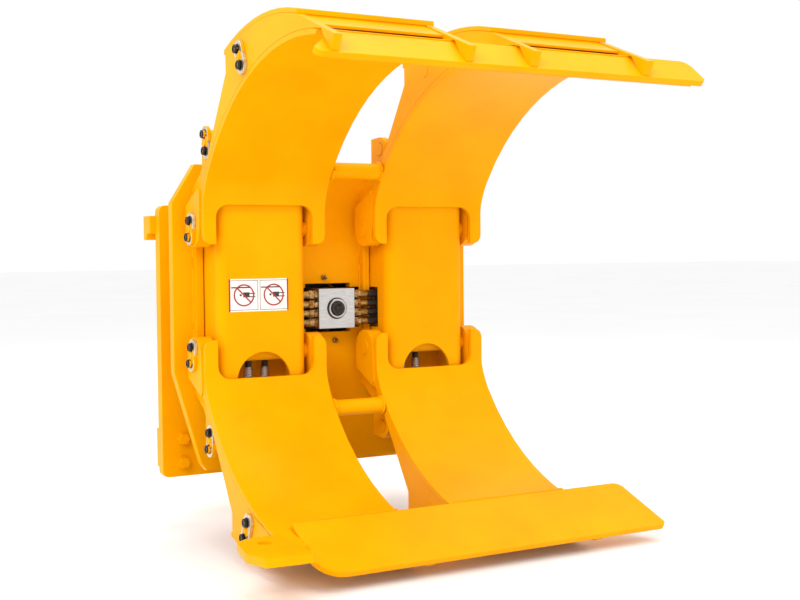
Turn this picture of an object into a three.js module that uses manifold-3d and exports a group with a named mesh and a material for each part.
// Rotating roll and log clamp for a forklift carriage.
// Millimetres. +X is to the right seen from the front, -Y is forward (where the load goes), +Z is up.
// The origin is on the turning axis, in the rear face of the carriage plate.
import * as THREE from 'three';
import { mergeVertices } from 'three/addons/utils/BufferGeometryUtils.js';
import Module from 'manifold-3d';

const wasm = await Module();
wasm.setup();

// ---------- driving dimensions ----------
const GAP = 0.3;                  // between pieces that touch
const TURN_GAP = 1.2;             // on the radius, where a faceted pin turns in a faceted hole

const CARRIAGE_WIDTH = 810;
const CARRIAGE_TOP = 262;
const CARRIAGE_BOTTOM = -418;
const CARRIAGE_T = 30;
const HOOK_DISTANCE = 508;        // ISO 2328 class III, over the two carriage bars
const UPPER_SEAT_Z = 193;         // where the upper hook rests on the carriage bar
const HOOK_DEPTH = 22;            // bar thickness that the hooks reach behind
const UPPER_LIP = 16;             // how far each hook's lip reaches behind its bar
const LOWER_LIP = 14;
const RELIEF = { wide: 4, deep: 2 };   // groove that ends the bearing face beside a lip

const ROTATOR_GAP = 95;           // carriage plate to face plate
const FACE_WIDTH = 830;
const FACE_TOP = 357;
const FACE_BOTTOM = -389;
const FACE_T = 25;
const PIN_AHEAD = 70;             // arm pivots, forward of the face plate

const UPPER_PIVOT_Z = 199;
const LOWER_PIVOT_Z = -99;
const ARM_PITCH = 456;            // between the middles of the left and right arm
const ARM_WIDTH = 324;            // over the ears
const EAR_T = 37;
const EAR_R = 43;
const SIDE_INSET = 4;             // ear face to side plate face
const SIDE_T = 18;
const SKIN_T = 12;                // curved inner plate
const COVER_T = 10;
const PIVOT_R = 20;
const ROD_PIN_R = 14;
const BASE_PIN_R = 16;

const THROAT_R = 584;             // radius of the curved inner face
const THROAT_FORWARD = 563;       // its centre, from the pivot
const THROAT_BACK = -222;
const THROAT_STEP = 40;
const COVER_START = 200;
const UPPER_COVER = { r: 600, forward: 430, back: -164, end: 573 };
const LOWER_COVER = { r: 451, forward: 340, back: -35, end: 470 };
const TONGUE = 72;                // the upper arm's cover beyond its step, between the side plates
const TONGUE_T = 6;
const TONGUE_SUNK = 3;
const SKIN_FRONT = 58;            // forward face of the inner plate beside the column
const NOTCH_TOP = 56;             // height of the notch that clears the column
const FOOT_SHORT = 6;             // the inner plate ends this much above the ears' round ends
const FOOT_CORNER = 22;
const ROD_PIN = [303, 360];       // forward, out, from the pivot
const BASE_PIN = [43, 200];
const TIE = [85, 140];
const TIE_R = 20;

const COLUMN_FRONT = 40;          // forward of the pivots
const COLUMN_WIDTH = 230;
const COLUMN_WALL = 10;
const COLUMN_CORNER = 24;
const COLUMN_PAST_PIVOT = 80;
const CHEEK_T = 18;
const LUG_R = 30;
const LUG_STRIP = 22;             // width of the lug plates where they stand on the face plate
const WINDOW_R = 70;              // half-round hand hole at the foot of each column

const PAD_T = 14;
const UPPER_PAD = { rear: [655, 354], slope: -42, width: 78, left: -416, corner: 16, slant: 62, right: 550, flare: 4 };
const LOWER_PAD = { rear: [418, 331], slope: 29, width: 166, left: -341, corner: 65, slant: 4, right: 574, flare: 24 };

const TAB = { from: 447, to: 636, reach: 120, face: 362, thick: 18, root: 5, hole: [500, 50], holeR: 15 };

const BARREL_R = 29;
const BORE_R = 23;
const ROD_R = 13;
const CLOSED_LENGTH = Math.hypot(ROD_PIN[0] - BASE_PIN[0], ROD_PIN[1] - BASE_PIN[1]);
const STROKE = 132;
const EYE_SLACK = 7;              // rod eye on its pin, where the linkage is left open

const BLOCK = { width: 100, height: 100, ahead: 50, depth: 95 };
const SPINDLE_R = 26;
const HOSE_R = 9;
const HOSE_PITCH = 23;

const MODULE = 7;
const RING_TEETH = 48;
const PINION_TEETH = 12;
const GEAR_T = 38;
const BACKLASH = 1.4;
const PINION_ANGLE = 52;          // degrees, round the turning axis

// ---------- derived places ----------
const FACE_REAR_Y = -(CARRIAGE_T + ROTATOR_GAP);
const FACE_FRONT_Y = FACE_REAR_Y - FACE_T;
const PIVOT_Y = FACE_FRONT_Y - PIN_AHEAD;
const HALF = ARM_WIDTH / 2;
const SIDE_OUT = HALF - SIDE_INSET;
const SIDE_IN = SIDE_OUT - SIDE_T;
const LOWER_SEAT_Z = UPPER_SEAT_Z - HOOK_DISTANCE;
const RETAINER_T = 8;
const LUG_IN = COLUMN_WIDTH / 2 + 3;
const LUG_OUT = LUG_IN + CHEEK_T;

// ---------- materials ----------
const paint = new THREE.MeshStandardMaterial({ color: 0xf2ac00, roughness: 0.35, metalness: 0.0 });
const zinc = new THREE.MeshStandardMaterial({ color: 0xb9b4a4, roughness: 0.4, metalness: 0.9 });
const steel = new THREE.MeshStandardMaterial({ color: 0xc8c8c6, roughness: 0.3, metalness: 0.95 });
const chrome = new THREE.MeshStandardMaterial({ color: 0xe2e4e6, roughness: 0.12, metalness: 1.0 });
const iron = new THREE.MeshStandardMaterial({ color: 0x45474a, roughness: 0.55, metalness: 0.8 });
const rubber = new THREE.MeshStandardMaterial({ color: 0x26221e, roughness: 0.7, metalness: 0.0 });

// ---------- solids ----------
function solid(geometry) {
  const bare = geometry.clone();
  bare.deleteAttribute('normal');
  bare.deleteAttribute('uv');
  const merged = mergeVertices(bare, 1e-4);
  const vertProperties = new Float32Array(merged.attributes.position.array);
  const index = merged.index.array;
  const kept = [];
  for (let i = 0; i < index.length; i += 3) {
    const [a, b, c] = [index[i], index[i + 1], index[i + 2]];
    if (a !== b && b !== c && c !== a) {
      kept.push(a, b, c);
    }
  }
  const triVerts = new Uint32Array(kept);
  return new wasm.Manifold(new wasm.Mesh({ numProp: 3, vertProperties, triVerts }));
}

function geometryOf(body) {
  const mesh = body.getMesh();
  const geometry = new THREE.BufferGeometry();
  geometry.setAttribute('position', new THREE.BufferAttribute(mesh.vertProperties, 3));
  geometry.setIndex(new THREE.BufferAttribute(mesh.triVerts, 1));
  const flat = geometry.toNonIndexed();
  flat.computeVertexNormals();
  return flat;
}

const plane = {
  // local x, y, z of a drawn outline laid on world axes
  side: new THREE.Matrix4().makeBasis(
    new THREE.Vector3(0, 1, 0), new THREE.Vector3(0, 0, 1), new THREE.Vector3(1, 0, 0)),
  face: new THREE.Matrix4().makeBasis(
    new THREE.Vector3(1, 0, 0), new THREE.Vector3(0, 0, 1), new THREE.Vector3(0, -1, 0)),
  top: new THREE.Matrix4(),
};

// An outline of [x, y] points pushed from one depth to another along the third axis of its plane.
function plate(points, from, to, lay, holes = []) {
  const shape = new THREE.Shape(points.map((p) => new THREE.Vector2(p[0], p[1])));
  for (const hole of holes) {
    shape.holes.push(new THREE.Path(hole.map((p) => new THREE.Vector2(p[0], p[1]))));
  }
  const geometry = new THREE.ExtrudeGeometry(shape, { depth: to - from, bevelEnabled: false });
  geometry.translate(0, 0, from);
  geometry.applyMatrix4(plane[lay]);
  return solid(geometry);
}

function box(x0, x1, y0, y1, z0, z1) {
  const geometry = new THREE.BoxGeometry(x1 - x0, y1 - y0, z1 - z0);
  geometry.translate((x0 + x1) / 2, (y0 + y1) / 2, (z0 + z1) / 2);
  return solid(geometry);
}

function arcPoints(cx, cy, r, startDeg, endDeg, steps) {
  const points = [];
  for (let i = 0; i <= steps; i += 1) {
    const a = THREE.MathUtils.degToRad(startDeg + ((endDeg - startDeg) * i) / steps);
    points.push([cx + r * Math.cos(a), cy + r * Math.sin(a)]);
  }
  return points;
}

function circle(cx, cy, r, sides = 16) {
  return arcPoints(cx, cy, r, 0, 360 - 360 / sides, sides - 1);
}

// A round bar along X between two x values.
function barX(y, z, r, x0, x1, sides = 16) {
  return plate(circle(y, z, r, sides), Math.min(x0, x1), Math.max(x0, x1), 'side');
}

// A round bar along Y between two y values.
function barY(x, z, r, y0, y1, sides = 16) {
  return plate(circle(x, z, r, sides), -Math.max(y0, y1), -Math.min(y0, y1), 'face');
}

// A turned body from a profile of [radius, height], with its height laid along the matrix's Y.
function lathed(profile, sides, matrix) {
  const points = profile.map((p) => new THREE.Vector2(p[0], p[1]));
  if (profile[0][0] > 0) {
    points.push(points[0].clone());
  }
  const geometry = new THREE.LatheGeometry(points, sides);
  geometry.applyMatrix4(matrix);
  return solid(geometry);
}

function joined(bodies) {
  return bodies.reduce((sum, body) => sum.add(body));
}

function cut(body, tools) {
  return tools.reduce((rest, tool) => rest.subtract(tool), body);
}

const clamp = new THREE.Group();

// A group at a point of the clamp's own frame, such as a pivot.
function groupAt(x, y, z, parent = clamp) {
  const group = new THREE.Group();
  const from = parent.userData.at ?? new THREE.Vector3();
  group.userData.at = new THREE.Vector3(x, y, z);
  group.position.copy(group.userData.at).sub(from);
  parent.add(group);
  return group;
}

// A named mesh hung in its group. The body is given in the clamp's frame.
function node(name, body, material, group) {
  const geometry = geometryOf(body);
  const { x, y, z } = group.userData.at;
  geometry.translate(-x, -y, -z);
  const mesh = new THREE.Mesh(geometry, material);
  mesh.name = name;
  group.add(mesh);
}

// ---------- arm outlines, in [forward, out] from the pivot ----------
function throatAt(forward, extra = 0) {
  const r = THROAT_R + extra;
  return THROAT_BACK + Math.sqrt(r * r - (forward - THROAT_FORWARD) ** 2);
}

function coverAt(arm, forward, extra = 0) {
  const r = arm.cover.r + extra;
  return arm.cover.back + Math.sqrt(r * r - (forward - arm.cover.forward) ** 2);
}

// The forward face of the inner plate: straight beside the column, eased into the big arc.
function throatLine(from, endForward, extra = 0) {
  const bendFrom = 30;
  const straight = SKIN_FRONT - extra;
  const meet = throatAt(straight, extra);
  const start = new THREE.Vector2(straight, meet - bendFrom);
  const end = new THREE.Vector2(straight + bendFrom, throatAt(straight + bendFrom, extra));
  const ease = new THREE.QuadraticBezierCurve(start, new THREE.Vector2(straight, meet), end);
  const line = [[straight, from]];
  for (const p of ease.getPoints(4)) {
    line.push([p.x, p.y]);
  }
  for (let f = end.x + THROAT_STEP; f < endForward - 1; f += THROAT_STEP) {
    line.push([f, throatAt(f, extra)]);
  }
  line.push([endForward, throatAt(endForward, extra)]);
  return line;
}

function coverLine(arm, from, to, extra = 0) {
  const steps = 9;
  const line = [];
  for (let i = 0; i <= steps; i += 1) {
    const f = from + ((to - from) * i) / steps;
    line.push([f, coverAt(arm, f, extra)]);
  }
  return line;
}

const upper = {
  name: 'upper',
  pivotZ: UPPER_PIVOT_Z,
  sign: 1,
  pad: UPPER_PAD,
  cover: UPPER_COVER,
  skinEnd: 668,
  nose: [[733, 345], [716, 309]],
  gusset: [],
};
const lower = {
  name: 'lower',
  pivotZ: LOWER_PIVOT_Z,
  sign: -1,
  pad: LOWER_PAD,
  cover: LOWER_COVER,
  skinEnd: 498,
  nose: [],
  gusset: [[402, 452], [548, 428], [556, 424.5]],
};

// Arm coordinates to world [y, z].
function place(arm, points) {
  return points.map(([forward, out]) => [PIVOT_Y - forward, arm.pivotZ + arm.sign * out]);
}

function padSection(arm, rise, inner, rear, front) {
  const a = THREE.MathUtils.degToRad(arm.pad.slope);
  const [f, h] = arm.pad.rear;
  const along = (s, t) => [f + s * Math.cos(a) - t * Math.sin(a), h + s * Math.sin(a) + t * Math.cos(a)];
  return [along(rear, inner), along(front, inner), along(front, rise), along(rear, rise)];
}

// Room for the pad: what the arm's own plates leave free.
function padRoom(arm) {
  const [x0, x1] = padEnds(arm);
  const wide = padSection(arm, PAD_T + GAP, -120, -GAP, arm.pad.width + 160);
  return plate(place(arm, wide), x0 - GAP, x1 + GAP, 'side');
}

function padEnds(arm) {
  return [arm.pad.left, arm.pad.right];
}

// What rounds the outer corner of an inner plate's strip over an ear.
function footCorner(arm, middle, hand) {
  const foot = arm.pivotZ - arm.sign * (EAR_R - FOOT_SHORT);
  const edge = middle + hand * SIDE_OUT;
  const centre = [edge - hand * FOOT_CORNER, foot + arm.sign * FOOT_CORNER];
  const level = hand > 0 ? 0 : 180;
  const outline = [
    [edge + hand * 5, centre[1]],
    ...arcPoints(centre[0], centre[1], FOOT_CORNER, level, level - hand * arm.sign * 90, 5),
    [centre[0], foot - arm.sign * 5],
    [edge + hand * 5, foot - arm.sign * 5],
  ];
  return plate(outline, -PIVOT_Y, -PIVOT_Y + SKIN_FRONT + 20, 'face');
}

function innerPlate(arm, middle) {
  const front = throatLine(-EAR_R + FOOT_SHORT, arm.skinEnd);
  const back = throatLine(-EAR_R + FOOT_SHORT, arm.skinEnd, SKIN_T).reverse();
  const body = plate(place(arm, [...front, ...back]), middle - SIDE_OUT, middle + SIDE_OUT, 'side');
  const half = HALF - EAR_T;
  const corner = 30;
  const top = arm.pivotZ + arm.sign * NOTCH_TOP;
  const foot = arm.pivotZ - arm.sign * (EAR_R + 20);
  const round = arm.sign * corner;
  const outline = [
    [middle - half, foot],
    [middle + half, foot],
    ...arcPoints(middle + half - corner, top - round, corner, 0, arm.sign * 90, 5),
    ...arcPoints(middle - half + corner, top - round, corner, arm.sign * 90, arm.sign * 180, 5),
  ];
  const notch = plate(outline, -PIVOT_Y, -PIVOT_Y + SKIN_FRONT + 20, 'face');
  const whole = arm.sign < 0 && middle < 0 ? body.add(liftingTab(arm, middle - SIDE_OUT)) : body;
  const corners = [-1, 1].map((hand) => footCorner(arm, middle, hand));
  return cut(whole, [notch, ...corners, padRoom(arm)]);
}

// A gusset, where there is one, carries the right-hand plate of an arm on under the pad.
function sideOutline(arm, hand) {
  const ear = arcPoints(0, 0, EAR_R, 0, -180, 12);
  const neck = [[-EAR_R, 56], [52, 102], [209, 339]];
  const gusset = hand > 0 ? arm.gusset : [];
  const end = gusset.length ? gusset[0][0] - 80 : arm.cover.end;
  const crest = coverLine(arm, COVER_START + 8, end, -COVER_T - GAP);
  const reach = gusset.length ? gusset[2][0] - 2 : arm.skinEnd + 12;
  const throat = throatLine(8, reach, SKIN_T + GAP).reverse();
  return [...ear, ...neck, ...crest, ...gusset, ...arm.nose, ...throat];
}

function coverWidth(arm, middle) {
  const right = arm.gusset.length ? SIDE_IN - GAP : SIDE_OUT;
  return [middle - SIDE_OUT, middle + right];
}

function earOutline() {
  const front = SKIN_FRONT - SKIN_T - GAP;
  return [
    ...arcPoints(0, 0, EAR_R, 0, -180, 12),
    [-EAR_R, 56],
    [38, 95],
    [front, 84],
  ];
}

function sidePlate(arm, middle, hand) {
  const x = [middle + hand * SIDE_IN, middle + hand * SIDE_OUT].sort((a, b) => a - b);
  const ear = [middle + hand * (HALF - EAR_T), middle + hand * HALF].sort((a, b) => a - b);
  const parts = [
    plate(place(arm, sideOutline(arm, hand)), x[0], x[1], 'side'),
    plate(place(arm, earOutline()), ear[0], ear[1], 'side'),
  ];
  const far = middle + hand * (HALF + 20);
  const near = middle + hand * (SIDE_IN - EAR_T);
  const [py, pz] = place(arm, [ROD_PIN])[0];
  return cut(joined(parts), [
    barX(PIVOT_Y, arm.pivotZ, PIVOT_R + GAP, near, far),
    barX(py, pz, ROD_PIN_R + GAP, near, far),
    padRoom(arm),
  ]);
}

// A flat lug with a shackle hole, standing out from the left arm's curved plate.
function liftingTab(arm, wallX) {
  const x0 = wallX - TAB.reach;
  const y0 = PIVOT_Y - TAB.from;
  const y1 = PIVOT_Y - TAB.to;
  const outline = [
    [wallX + TAB.root, y0],
    [wallX + TAB.root, y1 + 130],
    [wallX - 1, y1 + 110],
    [wallX - 1, y1 + 6],
    [wallX - 8, y1],
    [x0 + 86, y1],
    [x0 + 17, y1 + 7],
    [x0, y1 + 64],
    [x0 + 22, y0 - 22],
    [x0 + 50, y0],
  ];
  const level = [TAB.face, TAB.face - TAB.thick].map((out) => arm.pivotZ + arm.sign * out);
  const hole = circle(wallX - TAB.hole[1], PIVOT_Y - TAB.hole[0], TAB.holeR, 20);
  return plate(outline, Math.min(...level), Math.max(...level), 'top', [hole]);
}

// The closing plate on the arm's back. On the upper arm it goes on between the side plates to the pad.
function coverPlate(arm, middle) {
  const { end } = arm.cover;
  const lid = [...coverLine(arm, COVER_START, end), ...coverLine(arm, COVER_START, end, -COVER_T).reverse()];
  const [left, right] = coverWidth(arm, middle);
  const parts = [plate(place(arm, lid), left, right, 'side')];
  if (arm.nose.length) {
    const start = [end, coverAt(arm, end, -COVER_T - GAP)];
    const nose = arm.nose[0];
    const length = Math.hypot(nose[0] - start[0], nose[1] - start[1]);
    const [uf, uo] = [(nose[0] - start[0]) / length, (nose[1] - start[1]) / length];
    const sunk = (along, depth) => [start[0] + along * uf + depth * uo, start[1] + along * uo - depth * uf];
    const tongue = [
      [end - 26, coverAt(arm, end - 26, -COVER_T / 2)],
      [end - 4, coverAt(arm, end - 4, -COVER_T / 2)],
      sunk(0, TONGUE_SUNK),
      sunk(TONGUE, TONGUE_SUNK),
      sunk(TONGUE, TONGUE_SUNK + TONGUE_T),
      sunk(-26, TONGUE_SUNK + TONGUE_T),
    ];
    const inside = SIDE_IN - GAP;
    parts.push(plate(place(arm, tongue), middle - inside, middle + inside, 'side'));
  }
  return cut(joined(parts), [padRoom(arm)]);
}

function padPlate(arm) {
  const [x0, x1] = padEnds(arm);
  const w = arm.pad.width;
  const c = arm.pad.corner;
  const outline = [
    [x0 + arm.pad.slant, 0],
    ...arcPoints(x0 + c, w - c, c, 180, 90, 6),
    [x1 - 10, w],
    [x1, w - 10],
    ...arcPoints(x1 - arm.pad.flare - 26, 26, 26, 0, -90, 5),
  ];
  const shape = new THREE.Shape(outline.map((p) => new THREE.Vector2(p[0], p[1])));
  const geometry = new THREE.ExtrudeGeometry(shape, { depth: PAD_T, bevelEnabled: false });
  const a = THREE.MathUtils.degToRad(arm.pad.slope);
  const along = new THREE.Vector3(0, -Math.cos(a), arm.sign * Math.sin(a));
  const out = new THREE.Vector3(0, Math.sin(a), arm.sign * Math.cos(a));
  const [y, z] = place(arm, [arm.pad.rear])[0];
  const across = new THREE.Vector3().crossVectors(along, out);
  if (across.x < 0) {
    // the outline is drawn left to right, so its depth runs the other way
    geometry.translate(0, 0, -PAD_T);
    out.negate();
    across.negate();
  }
  const matrix = new THREE.Matrix4().makeBasis(new THREE.Vector3(1, 0, 0), along, out);
  matrix.setPosition(0, y, z);
  geometry.applyMatrix4(matrix);
  return solid(geometry);
}

// A pin along X with its flag plate and two screws on the outer end.
function flaggedPin(y, z, r, face, far, hand, tilt) {
  const from = face + hand * RETAINER_T;
  const screw = 20;
  const wide = 19;
  const a = THREE.MathUtils.degToRad(tilt);
  const at = (s) => [y + s * Math.cos(a), z + s * Math.sin(a)];
  const [y1, z1] = at(screw);
  const [y0, z0] = at(-screw);
  const flag = [
    ...arcPoints(y1, z1, wide, tilt - 90, tilt + 90, 5),
    ...arcPoints(y0, z0, wide, tilt + 90, tilt + 270, 5),
  ];
  const plateEnds = [face + hand * GAP, from].sort((p, q) => p - q);
  return joined([
    barX(y, z, r, from + hand * 1.5, far),
    plate(flag, plateEnds[0], plateEnds[1], 'side'),
    barX(y1, z1, 9, from - hand, from + hand * 6, 6),
    barX(y0, z0, 9, from - hand, from + hand * 6, 6),
  ]);
}

// ---------- carriage side ----------
function carriagePlate() {
  const w = CARRIAGE_WIDTH / 2;
  const r = 16;
  const outline = [
    ...arcPoints(w - r, CARRIAGE_TOP - r, r, 0, 90, 3),
    ...arcPoints(-w + r, CARRIAGE_TOP - r, r, 90, 180, 3),
    ...arcPoints(-w + r, CARRIAGE_BOTTOM + r, r, 180, 270, 3),
    ...arcPoints(w - r, CARRIAGE_BOTTOM + r, r, 270, 360, 3),
  ];
  const body = plate(outline, 0, CARRIAGE_T, 'face');
  const holes = [];
  for (const hand of [-1, 1]) {
    for (const z of LOWER_BOLTS) {
      holes.push(barY(hand * LOWER_HOOK_X, z, 10 + GAP, 5, -CARRIAGE_T - 5, 16));
    }
  }
  const grooves = [UPPER_SEAT_Z - UPPER_LIP - RELIEF.wide, LOWER_SEAT_Z + LOWER_LIP].map(
    (z) => box(-w - 1, w + 1, -RELIEF.deep, 1, z, z + RELIEF.wide),
  );
  return cut(body, [...holes, ...grooves]);
}

function upperHookBar() {
  const half = CARRIAGE_WIDTH / 2 + 14;
  const seat = UPPER_SEAT_Z;
  const section = [
    [GAP, seat],
    [GAP, seat + 44],
    [HOOK_DEPTH + 26, seat + 44],
    [HOOK_DEPTH + 26, seat - UPPER_LIP],
    [HOOK_DEPTH + 6, seat - UPPER_LIP],
    [HOOK_DEPTH, seat],
  ];
  const relief = box(-90, 90, HOOK_DEPTH, HOOK_DEPTH + 40, seat - 30, seat - 2);
  return cut(plate(section, -half, half, 'side'), [relief]);
}

const LOWER_HOOK_X = 352;
const LOWER_BOLTS = [LOWER_SEAT_Z + 10, LOWER_SEAT_Z - 50].map((z) => z - 18);

function lowerHook(hand) {
  const seat = LOWER_SEAT_Z;
  const section = [
    [GAP, seat],
    [GAP, seat - 84],
    [HOOK_DEPTH + 22, seat - 84],
    [HOOK_DEPTH + 22, seat + LOWER_LIP],
    [HOOK_DEPTH + 6, seat + LOWER_LIP],
    [HOOK_DEPTH, seat],
  ];
  const x = [hand * LOWER_HOOK_X - 42, hand * LOWER_HOOK_X + 42];
  const parts = [plate(section, x[0], x[1], 'side')];
  for (const z of LOWER_BOLTS) {
    parts.push(barY(hand * LOWER_HOOK_X, z, 10, 2, -CARRIAGE_T - 2, 12));
    parts.push(barY(hand * LOWER_HOOK_X, z, 17, -CARRIAGE_T - GAP, -CARRIAGE_T - 4, 16));
    parts.push(barY(hand * LOWER_HOOK_X, z, 14, -CARRIAGE_T - 3, -CARRIAGE_T - 15, 6));
  }
  return joined(parts);
}

const forward = new THREE.Matrix4().makeRotationX(Math.PI);   // a profile's height runs forward

function bearingRace() {
  const rear = CARRIAGE_T + GAP;
  const step = CARRIAGE_T + ROTATOR_GAP - GEAR_T - 2;
  const front = CARRIAGE_T + ROTATOR_GAP - 4;
  return lathed([
    [92, rear], [146, rear], [146, step], [123, step], [123, front], [92, front],
  ], 48, forward);
}

function swivelSpindle() {
  const rear = CARRIAGE_T + GAP;
  const front = CARRIAGE_T + ROTATOR_GAP + FACE_T + BLOCK.ahead + 4;
  return lathed([
    [0, rear], [76, rear], [76, rear + 14], [34, rear + 14],
    [34, CARRIAGE_T + ROTATOR_GAP + FACE_T - 40], [SPINDLE_R, CARRIAGE_T + ROTATOR_GAP + FACE_T - 40],
    [SPINDLE_R, front], [18, front], [18, front - 6], [0, front - 6],
  ], 32, forward);
}

// ---------- gears ----------
function gearOutline(teeth, phaseDeg, slack) {
  const pitchR = (MODULE * teeth) / 2;
  const tip = pitchR + MODULE * 0.75;
  const root = pitchR - MODULE * 1.1;
  const step = 360 / teeth;
  const half = (MODULE * Math.PI) / 4 - slack / 2;
  const lean = Math.tan(THREE.MathUtils.degToRad(20));
  const points = [];
  for (let i = 0; i < teeth; i += 1) {
    const centre = phaseDeg + i * step;
    for (const [r, hand] of [[root, -1], [tip, -1], [tip, 1], [root, 1]]) {
      const wide = half - (r - pitchR) * lean;
      const a = THREE.MathUtils.degToRad(centre) + (hand * wide) / r;
      points.push([r * Math.cos(a), r * Math.sin(a)]);
    }
  }
  return points;
}

const GEAR_FRONT = CARRIAGE_T + ROTATOR_GAP - GAP;
const GEAR_REAR = GEAR_FRONT - GEAR_T;
const GEAR_DISTANCE = (MODULE * (RING_TEETH + PINION_TEETH)) / 2;
const PINION_X = GEAR_DISTANCE * Math.cos(THREE.MathUtils.degToRad(PINION_ANGLE));
const PINION_Z = GEAR_DISTANCE * Math.sin(THREE.MathUtils.degToRad(PINION_ANGLE));

function ringGear() {
  const outline = gearOutline(RING_TEETH, PINION_ANGLE, BACKLASH);
  return plate(outline, GEAR_REAR, GEAR_FRONT, 'face', [circle(0, 0, 125, 48)]);
}

function drivePinion() {
  const phase = PINION_ANGLE + 180 + 180 / PINION_TEETH;
  const outline = gearOutline(PINION_TEETH, phase, BACKLASH).map(([x, z]) => [x + PINION_X, z + PINION_Z]);
  return joined([
    plate(outline, GEAR_REAR + 2, GEAR_FRONT - 3, 'face'),
    barY(PINION_X, PINION_Z, 15, -(CARRIAGE_T + 8), -(GEAR_REAR + 3), 20),
  ]);
}

function driveGearbox() {
  const front = GEAR_REAR - 4;
  const rear = CARRIAGE_T + GAP;
  const outline = [
    ...arcPoints(PINION_X, PINION_Z, 56, 90, 270, 12),
    [PINION_X + 64, PINION_Z - 56],
    [PINION_X + 64, PINION_Z + 56],
  ];
  const body = joined([
    plate(outline, rear, front, 'face'),
    box(PINION_X + 58, PINION_X + 90, -GEAR_FRONT + 6, -rear, PINION_Z - 44, PINION_Z + 44),
  ]);
  return cut(body, [
    barY(PINION_X, PINION_Z, 15 + TURN_GAP, -(CARRIAGE_T + 6), -(front + 5), 20),
    plate(circle(0, 0, 146 + 1, 48), rear - 5, front + 5, 'face'),
  ]);
}

function driveMotor() {
  const y = -(CARRIAGE_T + ROTATOR_GAP / 2);
  const x = PINION_X + 90 + GAP;
  return joined([
    barX(y, PINION_Z, 36, x, x + 12, 24),
    barX(y, PINION_Z, 31, x + 10, x + 96, 24),
    barX(y, PINION_Z, 34, x + 94, x + 120, 24),
    box(x + 30, x + 84, y - 22, y + 22, PINION_Z + 20, PINION_Z + 44),
    plate(circle(x + 44, y, 11, 12), PINION_Z + 40, PINION_Z + 58, 'top'),
    plate(circle(x + 70, y, 11, 12), PINION_Z + 40, PINION_Z + 58, 'top'),
  ]);
}

// ---------- turning frame ----------
function facePlate() {
  const w = FACE_WIDTH / 2;
  const outline = [
    [-w, FACE_TOP - 94], [-w + 59, FACE_TOP], [w - 59, FACE_TOP], [w, FACE_TOP - 94],
    [w, FACE_BOTTOM + 244], [w - 66, FACE_BOTTOM + 18], [w - 80, FACE_BOTTOM],
    [-w + 80, FACE_BOTTOM], [-w + 66, FACE_BOTTOM + 18], [-w, FACE_BOTTOM + 244],
  ];
  const top = BLOCK.height / 2 + 12;
  const mid = BLOCK.width / 2 + 14;
  const window = [
    [-SLOT_X, -SLOT_HALF], [-mid, -SLOT_HALF], [-mid, -top], [mid, -top], [mid, -SLOT_HALF],
    [SLOT_X, -SLOT_HALF], [SLOT_X, SLOT_HALF], [mid, SLOT_HALF], [mid, top], [-mid, top],
    [-mid, SLOT_HALF], [-SLOT_X, SLOT_HALF],
  ];
  return plate(outline, -FACE_REAR_Y, -FACE_FRONT_Y, 'face', [window]);
}

const SLOT_HALF = (HOSE_PITCH * 3) / 2 + HOSE_R + 8;
const SLOT_X = ARM_PITCH / 2 - COLUMN_WIDTH / 2 + COLUMN_WALL + 14;

function column(hand) {
  const middle = (hand * ARM_PITCH) / 2;
  const w = COLUMN_WIDTH / 2;
  const front = PIVOT_Y - COLUMN_FRONT;
  const rear = FACE_FRONT_Y - GAP;
  const r = COLUMN_CORNER;
  const ri = r - COLUMN_WALL;
  const wi = w - COLUMN_WALL;
  const section = [
    [middle - w, rear],
    ...arcPoints(middle - w + r, front + r, r, 180, 270, 4),
    ...arcPoints(middle + w - r, front + r, r, 270, 360, 4),
    [middle + w, rear],
    [middle + wi, rear],
    ...arcPoints(middle + wi - ri, front + r, ri, 360, 270, 4),
    ...arcPoints(middle - wi + ri, front + r, ri, 270, 180, 4),
    [middle - wi, rear],
  ];
  const low = LOWER_PIVOT_Z - COLUMN_PAST_PIVOT;
  const high = UPPER_PIVOT_Z + COLUMN_PAST_PIVOT;
  const inner = middle - hand * w;
  const slot = [inner - 20, inner + 20];
  return cut(plate(section, low, high, 'top'), [
    barX(PIVOT_Y, UPPER_PIVOT_Z, PIVOT_R + TURN_GAP, middle - w - 5, middle + w + 5),
    barX(PIVOT_Y, LOWER_PIVOT_Z, PIVOT_R + TURN_GAP, middle - w - 5, middle + w + 5),
    barY(middle, LOWER_PIVOT_Z - WINDOW_R + 3, WINDOW_R, front - 5, front + COLUMN_WALL + 5, 40),
    box(slot[0], slot[1], rear - 58, rear + 5, -SLOT_HALF, SLOT_HALF),
  ]);
}

// The C-shaped plate beside a column: a strip on the face plate with a cylinder lug above and below.
function cheek(hand, edge) {
  const middle = (hand * ARM_PITCH) / 2;
  const inner = LUG_IN;
  const x = [middle + edge * inner, middle + edge * LUG_OUT].sort((a, b) => a - b);
  const back = PIVOT_Y - FACE_FRONT_Y + GAP;
  const strip = back + LUG_STRIP;
  const [f, h] = BASE_PIN;
  const horn = (arm) => place(arm, [
    [back, 96],
    [-14, 130],
    [0, 146],
    [0, h + LUG_R - 2],
    ...arcPoints(f, h, LUG_R, 88, -55, 6),
    [30, 112],
    [strip, 74],
  ]);
  const outline = [...horn(upper), ...horn(lower).reverse()];
  const near = middle + edge * (inner - 5);
  const far = middle + edge * (LUG_OUT + 5);
  const bores = [upper, lower].map((arm) => {
    const [y, z] = place(arm, [BASE_PIN])[0];
    return barX(y, z, BASE_PIN_R + GAP, near, far);
  });
  return cut(plate(outline, x[0], x[1], 'side'), bores);
}

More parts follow.
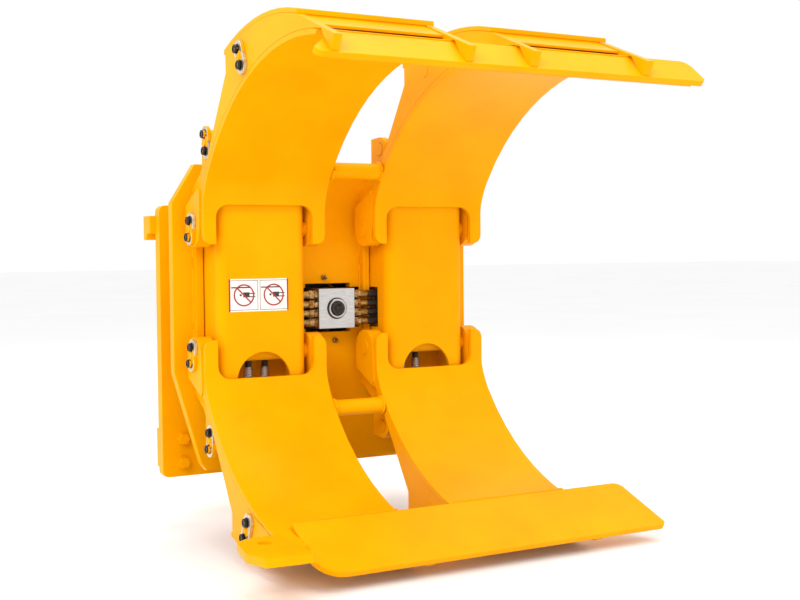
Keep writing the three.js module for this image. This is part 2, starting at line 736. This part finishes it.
function manifoldBlock() {
  const front = FACE_FRONT_Y - BLOCK.ahead;
  const w = BLOCK.width / 2;
  const h = BLOCK.height / 2;
  const body = box(-w, w, front, front + BLOCK.depth, -h, h);
  const parts = [body];
  for (const hand of [-1, 1]) {
    for (let i = 0; i < 4; i += 1) {
      const z = (i - 1.5) * HOSE_PITCH;
      parts.push(barX(HOSE_Y, z, HOSE_R + 1.5, hand * (w - 2), hand * (w + 22), 6));
    }
  }
  return cut(joined(parts), [
    barY(0, 0, SPINDLE_R + TURN_GAP, front - 5, front + BLOCK.depth + 5, 32),
    barY(0, 0, 34 + TURN_GAP, -(CARRIAGE_T + ROTATOR_GAP + FACE_T - 40) - 2, front + BLOCK.depth + 5, 32),
  ]);
}

const HOSE_Y = FACE_FRONT_Y - 34;

// Four hoses from the swivel block into one column, tied by a clip bar behind the column front.
function hoseSet(hand) {
  const start = hand * (BLOCK.width / 2 + 22 + GAP);
  const middle = (hand * ARM_PITCH) / 2;
  const section = new THREE.Shape(circle(0, 0, HOSE_R, 6).map((p) => new THREE.Vector2(p[0], p[1])));
  const parts = [];
  for (let i = 0; i < 4; i += 1) {
    const z = (i - 1.5) * HOSE_PITCH;
    const goesDown = i < 2;
    const turnX = middle + hand * (goesDown ? -34 + i * 44 : -12 - (i - 2) * 44);
    const endZ = goesDown ? LOWER_PIVOT_Z - 62 : UPPER_PIVOT_Z + 58;
    const way = goesDown ? -1 : 1;
    const bend = 34;
    const path = new THREE.CurvePath();
    const a = new THREE.Vector3(start, HOSE_Y, z);
    const b = new THREE.Vector3(turnX - hand * bend, HOSE_Y, z);
    const corner = new THREE.Vector3(turnX, HOSE_Y, z);
    const c = new THREE.Vector3(turnX, HOSE_Y, z + way * bend);
    const d = new THREE.Vector3(turnX, HOSE_Y, endZ);
    path.add(new THREE.LineCurve3(a, b));
    path.add(new THREE.QuadraticBezierCurve3(b, corner, c));
    path.add(new THREE.LineCurve3(c, d));
    const geometry = new THREE.ExtrudeGeometry(section, { steps: 16, extrudePath: path, bevelEnabled: false });
    parts.push(solid(geometry));
  }
  const clip = HOSE_PITCH * 1.5 + HOSE_R;
  const clipX = hand * (SLOT_X - 4);
  const ends = [clipX, clipX - hand * 12].sort((p, q) => p - q);
  parts.push(box(ends[0], ends[1], HOSE_Y - 5, HOSE_Y + 5, -clip, clip));
  return joined(parts);
}

// ---------- cylinders ----------
// Built along +Z from the base pin, then laid along the line from base pin to rod pin.
function cylinderMatrix(arm, middle) {
  const [by, bz] = place(arm, [BASE_PIN])[0];
  const [ry, rz] = place(arm, [ROD_PIN])[0];
  const along = new THREE.Vector3(0, ry - by, rz - bz).normalize();
  const across = new THREE.Vector3(1, 0, 0);
  const third = new THREE.Vector3().crossVectors(along, across);
  const matrix = new THREE.Matrix4().makeBasis(across, third, along);
  matrix.setPosition(middle, by, bz);
  return matrix;
}

const upright = new THREE.Matrix4().makeRotationX(Math.PI / 2);   // a profile's height runs along Z
const BARREL_FROM = 24;
const BARREL_TO = 232;
const GLAND_T = 26;
const PISTON_T = 26;

function eye(r, halfWidth, at) {
  const geometry = new THREE.CylinderGeometry(r, r, halfWidth * 2, 20);
  geometry.rotateZ(Math.PI / 2);
  geometry.translate(0, 0, at);
  return geometry;
}

function laid(geometry, matrix) {
  geometry.applyMatrix4(matrix);
  return solid(geometry);
}

function barrel(arm, middle) {
  const matrix = cylinderMatrix(arm, middle);
  const tube = lathed([
    [0, BARREL_FROM], [BARREL_R, BARREL_FROM], [BARREL_R, BARREL_TO],
    [ROD_R + 0.6, BARREL_TO], [ROD_R + 0.6, BARREL_TO - GLAND_T], [BORE_R, BARREL_TO - GLAND_T],
    [BORE_R, BARREL_FROM + 14], [0, BARREL_FROM + 14],
  ], 20, matrix.clone().multiply(upright));
  const base = laid(eye(LUG_R - 2, 34, 0), matrix);
  const hole = laid(eye(BASE_PIN_R + TURN_GAP, 60, 0), matrix);
  return cut(joined([tube, base]), [hole]);
}

function rod(arm, middle) {
  const matrix = cylinderMatrix(arm, middle);
  const foot = BARREL_FROM + 18;
  const stem = lathed([
    [0, foot], [BORE_R - 0.5, foot], [BORE_R - 0.5, foot + PISTON_T], [ROD_R, foot + PISTON_T],
    [ROD_R, CLOSED_LENGTH - 22], [0, CLOSED_LENGTH - 22],
  ], 20, matrix.clone().multiply(upright));
  const head = laid(eye(ROD_PIN_R + EYE_SLACK + 10, 24, CLOSED_LENGTH), matrix);
  const hole = laid(eye(ROD_PIN_R + EYE_SLACK, 60, CLOSED_LENGTH), matrix);
  return cut(joined([stem, head]), [hole]);
}

// ---------- assembly ----------
const carriage = groupAt(0, 0, 0);
node('carriage_plate', carriagePlate(), paint, carriage);
node('upper_hook_bar', upperHookBar(), paint, carriage);
node('lower_hook_left', lowerHook(-1), paint, carriage);
node('lower_hook_right', lowerHook(1), paint, carriage);
node('bearing_race', bearingRace(), iron, carriage);
node('swivel_spindle', swivelSpindle(), iron, carriage);
node('drive_gearbox', driveGearbox(), iron, carriage);
node('drive_motor', driveMotor(), iron, carriage);
node('drive_pinion', drivePinion(), steel, groupAt(PINION_X, -GEAR_REAR, PINION_Z, carriage));

const frame = groupAt(0, FACE_FRONT_Y, 0);
node('ring_gear', ringGear(), steel, frame);
node('face_plate', facePlate(), paint, frame);
node('manifold_block', manifoldBlock(), steel, frame);

for (const arm of [upper, lower]) {
  arm.group = groupAt(0, PIVOT_Y, arm.pivotZ, frame);
  const reach = ARM_PITCH / 2 - SIDE_OUT - GAP;
  const [y, z] = place(arm, [TIE])[0];
  node(`${arm.name}_pad`, padPlate(arm), paint, arm.group);
  node(`${arm.name}_tie_tube`, barX(y, z, TIE_R, -reach, reach), paint, arm.group);
}

function buildArm(arm, side, hand, middle) {
  const tag = `${arm.name}_${side}`;
  const [ry, rz] = place(arm, [ROD_PIN])[0];
  const lean = 90 - arm.sign * 22;
  const ear = middle + hand * HALF;
  const skin = middle + hand * SIDE_OUT;
  node(`${tag}_inner_plate`, innerPlate(arm, middle), paint, arm.group);
  node(`${tag}_side_outer`, sidePlate(arm, middle, hand), paint, arm.group);
  node(`${tag}_side_inner`, sidePlate(arm, middle, -hand), paint, arm.group);
  node(`${tag}_cover`, coverPlate(arm, middle), paint, arm.group);
  const pivot = flaggedPin(PIVOT_Y, arm.pivotZ, PIVOT_R, ear, middle - hand * (HALF + 1.5), hand, 96);
  node(`${tag}_pivot_pin`, pivot, zinc, arm.group);
  const pin = flaggedPin(ry, rz, ROD_PIN_R, skin, middle - hand * (SIDE_OUT + 1.5), hand, lean);
  node(`${tag}_rod_pin`, pin, zinc, arm.group);
}

function buildCylinder(arm, side, hand, middle) {
  const tag = `${arm.name}_${side}`;
  const [by, bz] = place(arm, [BASE_PIN])[0];
  const face = middle + hand * LUG_OUT;
  const pin = flaggedPin(by, bz, BASE_PIN_R, face, middle - hand * (LUG_OUT + 1.5), hand, 90);
  node(`${tag}_base_pin`, pin, zinc, frame);
  const cylinder = groupAt(middle, by, bz, frame);
  node(`${tag}_barrel`, barrel(arm, middle), iron, cylinder);
  node(`${tag}_rod`, rod(arm, middle), chrome, cylinder);
}

for (const [side, hand] of [['left', -1], ['right', 1]]) {
  const middle = (hand * ARM_PITCH) / 2;
  node(`${side}_column`, column(hand), paint, frame);
  node(`${side}_cheek_outer`, cheek(hand, hand), paint, frame);
  node(`${side}_cheek_inner`, cheek(hand, -hand), paint, frame);
  node(`${side}_hoses`, hoseSet(hand), rubber, frame);
  for (const arm of [upper, lower]) {
    buildArm(arm, side, hand, middle);
    buildCylinder(arm, side, hand, middle);
  }
}

export default clamp;
